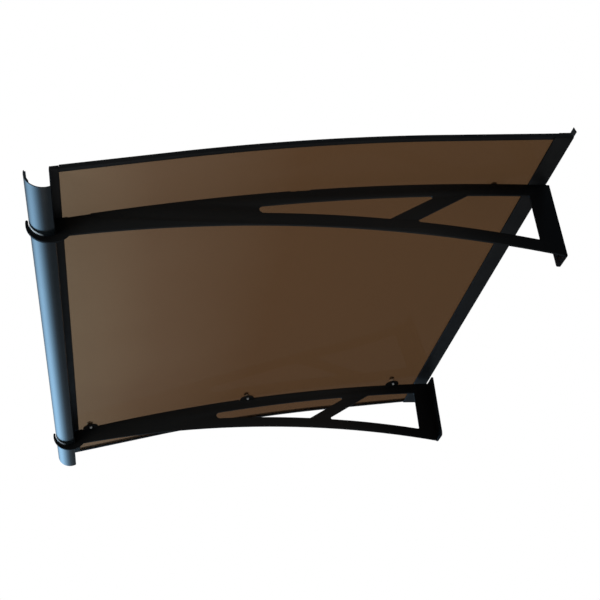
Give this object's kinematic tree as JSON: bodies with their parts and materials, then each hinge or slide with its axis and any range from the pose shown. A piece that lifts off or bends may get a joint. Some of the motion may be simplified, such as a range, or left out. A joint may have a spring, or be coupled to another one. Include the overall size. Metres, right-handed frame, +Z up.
{
  "type": "door canopy",
  "caption": "Arched smoked acrylic door canopy in a dark aluminium frame with a front rain gutter, on two cut-out wall brackets whose hooks carry the gutter.",
  "frame": {"origin": "middle of the rear profile's wall face, midway between the two brackets", "axes": "+X along the wall, to the right when facing the wall from outside; +Y into the wall; +Z up. The canopy reaches out towards -Y."},
  "size_m": [1.2, 1.0503, 0.2265],
  "materials": {
    "smoked_acrylic": "clear smoked bronze acrylic, glossy on both faces",
    "frame_aluminium": "satin anthracite powder coat on aluminium",
    "gutter_aluminium": "glossy blue-grey coat on aluminium",
    "bracket_paint": "satin black powder coat on cast aluminium",
    "stainless_steel": "bright stainless steel",
    "clear_bush": "clear brownish plastic bush",
    "seal_rubber": "matt black rubber"
  },
  "bodies": {
    "root": {"acrylic_panel": "smoked_acrylic", "front_profile": "frame_aluminium", "rear_profile": "frame_aluminium", "side_profile_left": "frame_aluminium", "side_profile_right": "frame_aluminium", "gutter": "gutter_aluminium", "rear_cap_left": "frame_aluminium", "rear_cap_right": "frame_aluminium", "wall_seal": "seal_rubber", "bracket_left": "bracket_paint", "bracket_right": "bracket_paint", "screw_rear_left": "stainless_steel", "sealing_washer_rear_left": "seal_rubber", "spacer_rear_left": "clear_bush", "cap_nut_rear_left": "stainless_steel", "screw_middle_left": "stainless_steel", "sealing_washer_middle_left": "seal_rubber", "spacer_middle_left": "clear_bush", "cap_nut_middle_left": "stainless_steel", "screw_front_left": "stainless_steel", "sealing_washer_front_left": "seal_rubber", "spacer_front_left": "clear_bush", "cap_nut_front_left": "stainless_steel", "screw_rear_right": "stainless_steel", "sealing_washer_rear_right": "seal_rubber", "spacer_rear_right": "clear_bush", "cap_nut_rear_right": "stainless_steel", "screw_middle_right": "stainless_steel", "sealing_washer_middle_right": "seal_rubber", "spacer_middle_right": "clear_bush", "cap_nut_middle_right": "stainless_steel", "screw_front_right": "stainless_steel", "sealing_washer_front_right": "seal_rubber", "spacer_front_right": "clear_bush", "cap_nut_front_right": "stainless_steel"}
  },
  "joints": []
}
